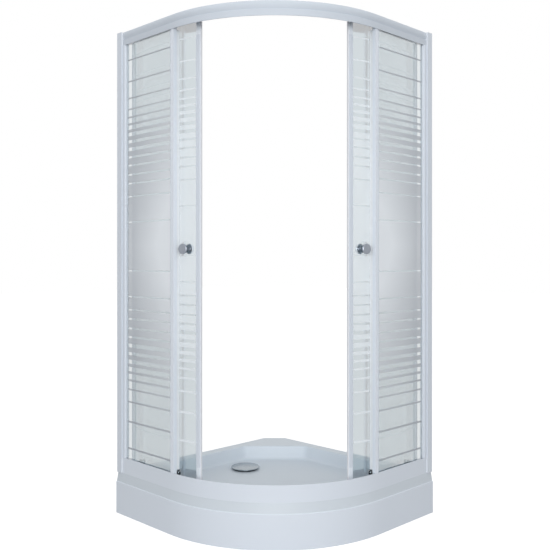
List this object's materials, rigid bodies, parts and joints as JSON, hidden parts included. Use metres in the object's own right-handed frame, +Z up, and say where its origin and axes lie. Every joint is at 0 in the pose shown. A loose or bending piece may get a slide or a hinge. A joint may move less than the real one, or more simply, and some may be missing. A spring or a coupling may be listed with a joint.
{
  "type": "corner shower enclosure",
  "caption": "Quadrant corner shower enclosure: low acrylic tray with apron, fixed striped glass sides and curved sliding doors on rollers.",
  "frame": {"origin": "on the floor under the middle of the enclosure's bounding box", "axes": "+Z up; the room's walls stand at -X and +Y, and the doorway faces -Y and +X along the diagonal"},
  "size_m": [0.9, 0.9, 1.925],
  "materials": {
    "tray_acrylic": "glossy formed acrylic",
    "apron_acrylic": "glossy formed acrylic",
    "rail_coat": "white powder coat",
    "frame_coat": "white powder coat",
    "stile_coat": "white powder coat",
    "pane_glass": "toughened, with frosted stripes",
    "door_glass": "toughened and bent, with frosted stripes",
    "drain_chrome": "polished",
    "knob_chrome": "satin",
    "zinc_steel": "zinc plated",
    "axle_steel": "turned",
    "track_aluminium": "extruded, natural",
    "cap_plastic": "moulded",
    "block_plastic": "moulded",
    "wheel_nylon": "turned nylon",
    "washer_nylon": "moulded nylon",
    "strip_vinyl": "extruded magnetic vinyl",
    "seal_vinyl": "soft extruded vinyl",
    "trap_plastic": "moulded",
    "dark_plastic": "moulded",
    "seal_rubber": "moulded"
  },
  "bodies": {
    "frame": {"tray_shell": "tray_acrylic", "front_apron": "apron_acrylic", "apron_clips": "zinc_steel", "tube_frame": "zinc_steel", "foot_pads": "dark_plastic", "foot_studs": "zinc_steel", "foot_nuts": "zinc_steel", "drain_flange": "drain_chrome", "drain_gasket": "seal_rubber", "drain_trap": "trap_plastic", "bottom_rail": "rail_coat", "header_rail": "rail_coat", "bottom_end_blocks": "block_plastic", "header_end_blocks": "block_plastic", "track_stops": "seal_rubber", "left_wall_profile": "frame_coat", "left_side_stile": "frame_coat", "left_fixed_glass": "pane_glass", "left_end_stile": "stile_coat", "left_end_seal": "seal_vinyl", "left_upper_track": "track_aluminium", "left_lower_guide": "track_aluminium", "right_wall_profile": "frame_coat", "right_side_stile": "frame_coat", "right_fixed_glass": "pane_glass", "right_end_stile": "stile_coat", "right_end_seal": "seal_vinyl", "right_upper_track": "track_aluminium", "right_lower_guide": "track_aluminium"},
    "left_door": {"left_door_glass": "door_glass", "left_lead_stile": "stile_coat", "left_trail_stile": "stile_coat", "left_stile_caps": "cap_plastic", "left_magnetic_strip": "strip_vinyl", "left_outer_knob": "knob_chrome", "left_inner_knob": "knob_chrome", "left_knob_bolt": "zinc_steel", "left_knob_washers": "washer_nylon", "left_upper_axles": "axle_steel", "left_lower_axles": "axle_steel"},
    "right_door": {"right_door_glass": "door_glass", "right_lead_stile": "stile_coat", "right_trail_stile": "stile_coat", "right_stile_caps": "cap_plastic", "right_magnetic_strip": "strip_vinyl", "right_outer_knob": "knob_chrome", "right_inner_knob": "knob_chrome", "right_knob_bolt": "zinc_steel", "right_knob_washers": "washer_nylon", "right_upper_axles": "axle_steel", "right_lower_axles": "axle_steel"},
    "drain_cover": {"drain_cover": "drain_chrome"},
    "left_upper_trail_wheel": {"left_upper_trail_wheel": "wheel_nylon"},
    "right_upper_trail_wheel": {"right_upper_trail_wheel": "wheel_nylon"},
    "left_upper_lead_wheel": {"left_upper_lead_wheel": "wheel_nylon"},
    "right_upper_lead_wheel": {"right_upper_lead_wheel": "wheel_nylon"},
    "left_lower_trail_wheel": {"left_lower_trail_wheel": "wheel_nylon"},
    "right_lower_trail_wheel": {"right_lower_trail_wheel": "wheel_nylon"},
    "left_lower_lead_wheel": {"left_lower_lead_wheel": "wheel_nylon"},
    "right_lower_lead_wheel": {"right_lower_lead_wheel": "wheel_nylon"}
  },
  "joints": [
    {"name": "left_door_run", "type": "hinge", "parent": "frame", "child": "left_door", "pos_m": [-0.22579, 0.39008, 1], "axis": [0, 0, 1], "range_deg": [0, 20.2]},
    {"name": "right_door_run", "type": "hinge", "parent": "frame", "child": "right_door", "pos_m": [-0.39008, 0.22579, 1], "axis": [0, 0, -1], "range_deg": [0, 20.2]},
    {"name": "left_upper_trail_wheel_spin", "type": "hinge", "parent": "left_door", "child": "left_upper_trail_wheel", "pos_m": [-0.33313, -0.41306, 1.905], "axis": [-0.1325, -0.9912, 0], "range_deg": [-1500, 10]},
    {"name": "right_upper_trail_wheel_spin", "type": "hinge", "parent": "right_door", "child": "right_upper_trail_wheel", "pos_m": [0.41306, 0.33313, 1.905], "axis": [0.9912, 0.1325, 0], "range_deg": [-10, 1500]},
    {"name": "left_upper_lead_wheel_spin", "type": "hinge", "parent": "left_door", "child": "left_upper_lead_wheel", "pos_m": [-0.10825, -0.41163, 1.905], "axis": [0.1451, -0.9894, 0], "range_deg": [-1500, 10]},
    {"name": "right_upper_lead_wheel_spin", "type": "hinge", "parent": "right_door", "child": "right_upper_lead_wheel", "pos_m": [0.41163, 0.10825, 1.905], "axis": [0.9894, -0.1451, 0], "range_deg": [-10, 1500]},
    {"name": "left_lower_trail_wheel_spin", "type": "hinge", "parent": "left_door", "child": "left_lower_trail_wheel", "pos_m": [-0.33313, -0.41306, 0.217], "axis": [-0.1325, -0.9912, 0], "range_deg": [-1650, 10]},
    {"name": "right_lower_trail_wheel_spin", "type": "hinge", "parent": "right_door", "child": "right_lower_trail_wheel", "pos_m": [0.41306, 0.33313, 0.217], "axis": [0.9912, 0.1325, 0], "range_deg": [-10, 1650]},
    {"name": "left_lower_lead_wheel_spin", "type": "hinge", "parent": "left_door", "child": "left_lower_lead_wheel", "pos_m": [-0.10825, -0.41163, 0.217], "axis": [0.1451, -0.9894, 0], "range_deg": [-1650, 10]},
    {"name": "right_lower_lead_wheel_spin", "type": "hinge", "parent": "right_door", "child": "right_lower_lead_wheel", "pos_m": [0.41163, 0.10825, 0.217], "axis": [0.9894, -0.1451, 0], "range_deg": [-10, 1650]},
    {"name": "drain_cover_lift", "type": "slide", "parent": "frame", "child": "drain_cover", "axis": [0, 0, 1], "range_m": [0, 0.06]}
  ],
  "couplings": [
    {"joint": "left_upper_trail_wheel_spin", "follows": "left_door_run", "ratio": -73.661},
    {"joint": "right_upper_trail_wheel_spin", "follows": "right_door_run", "ratio": 73.661},
    {"joint": "left_upper_lead_wheel_spin", "follows": "left_door_run", "ratio": -73.661},
    {"joint": "right_upper_lead_wheel_spin", "follows": "right_door_run", "ratio": 73.661},
    {"joint": "left_lower_trail_wheel_spin", "follows": "left_door_run", "ratio": -81.028},
    {"joint": "right_lower_trail_wheel_spin", "follows": "right_door_run", "ratio": 81.028},
    {"joint": "left_lower_lead_wheel_spin", "follows": "left_door_run", "ratio": -81.028},
    {"joint": "right_lower_lead_wheel_spin", "follows": "right_door_run", "ratio": 81.028}
  ]
}
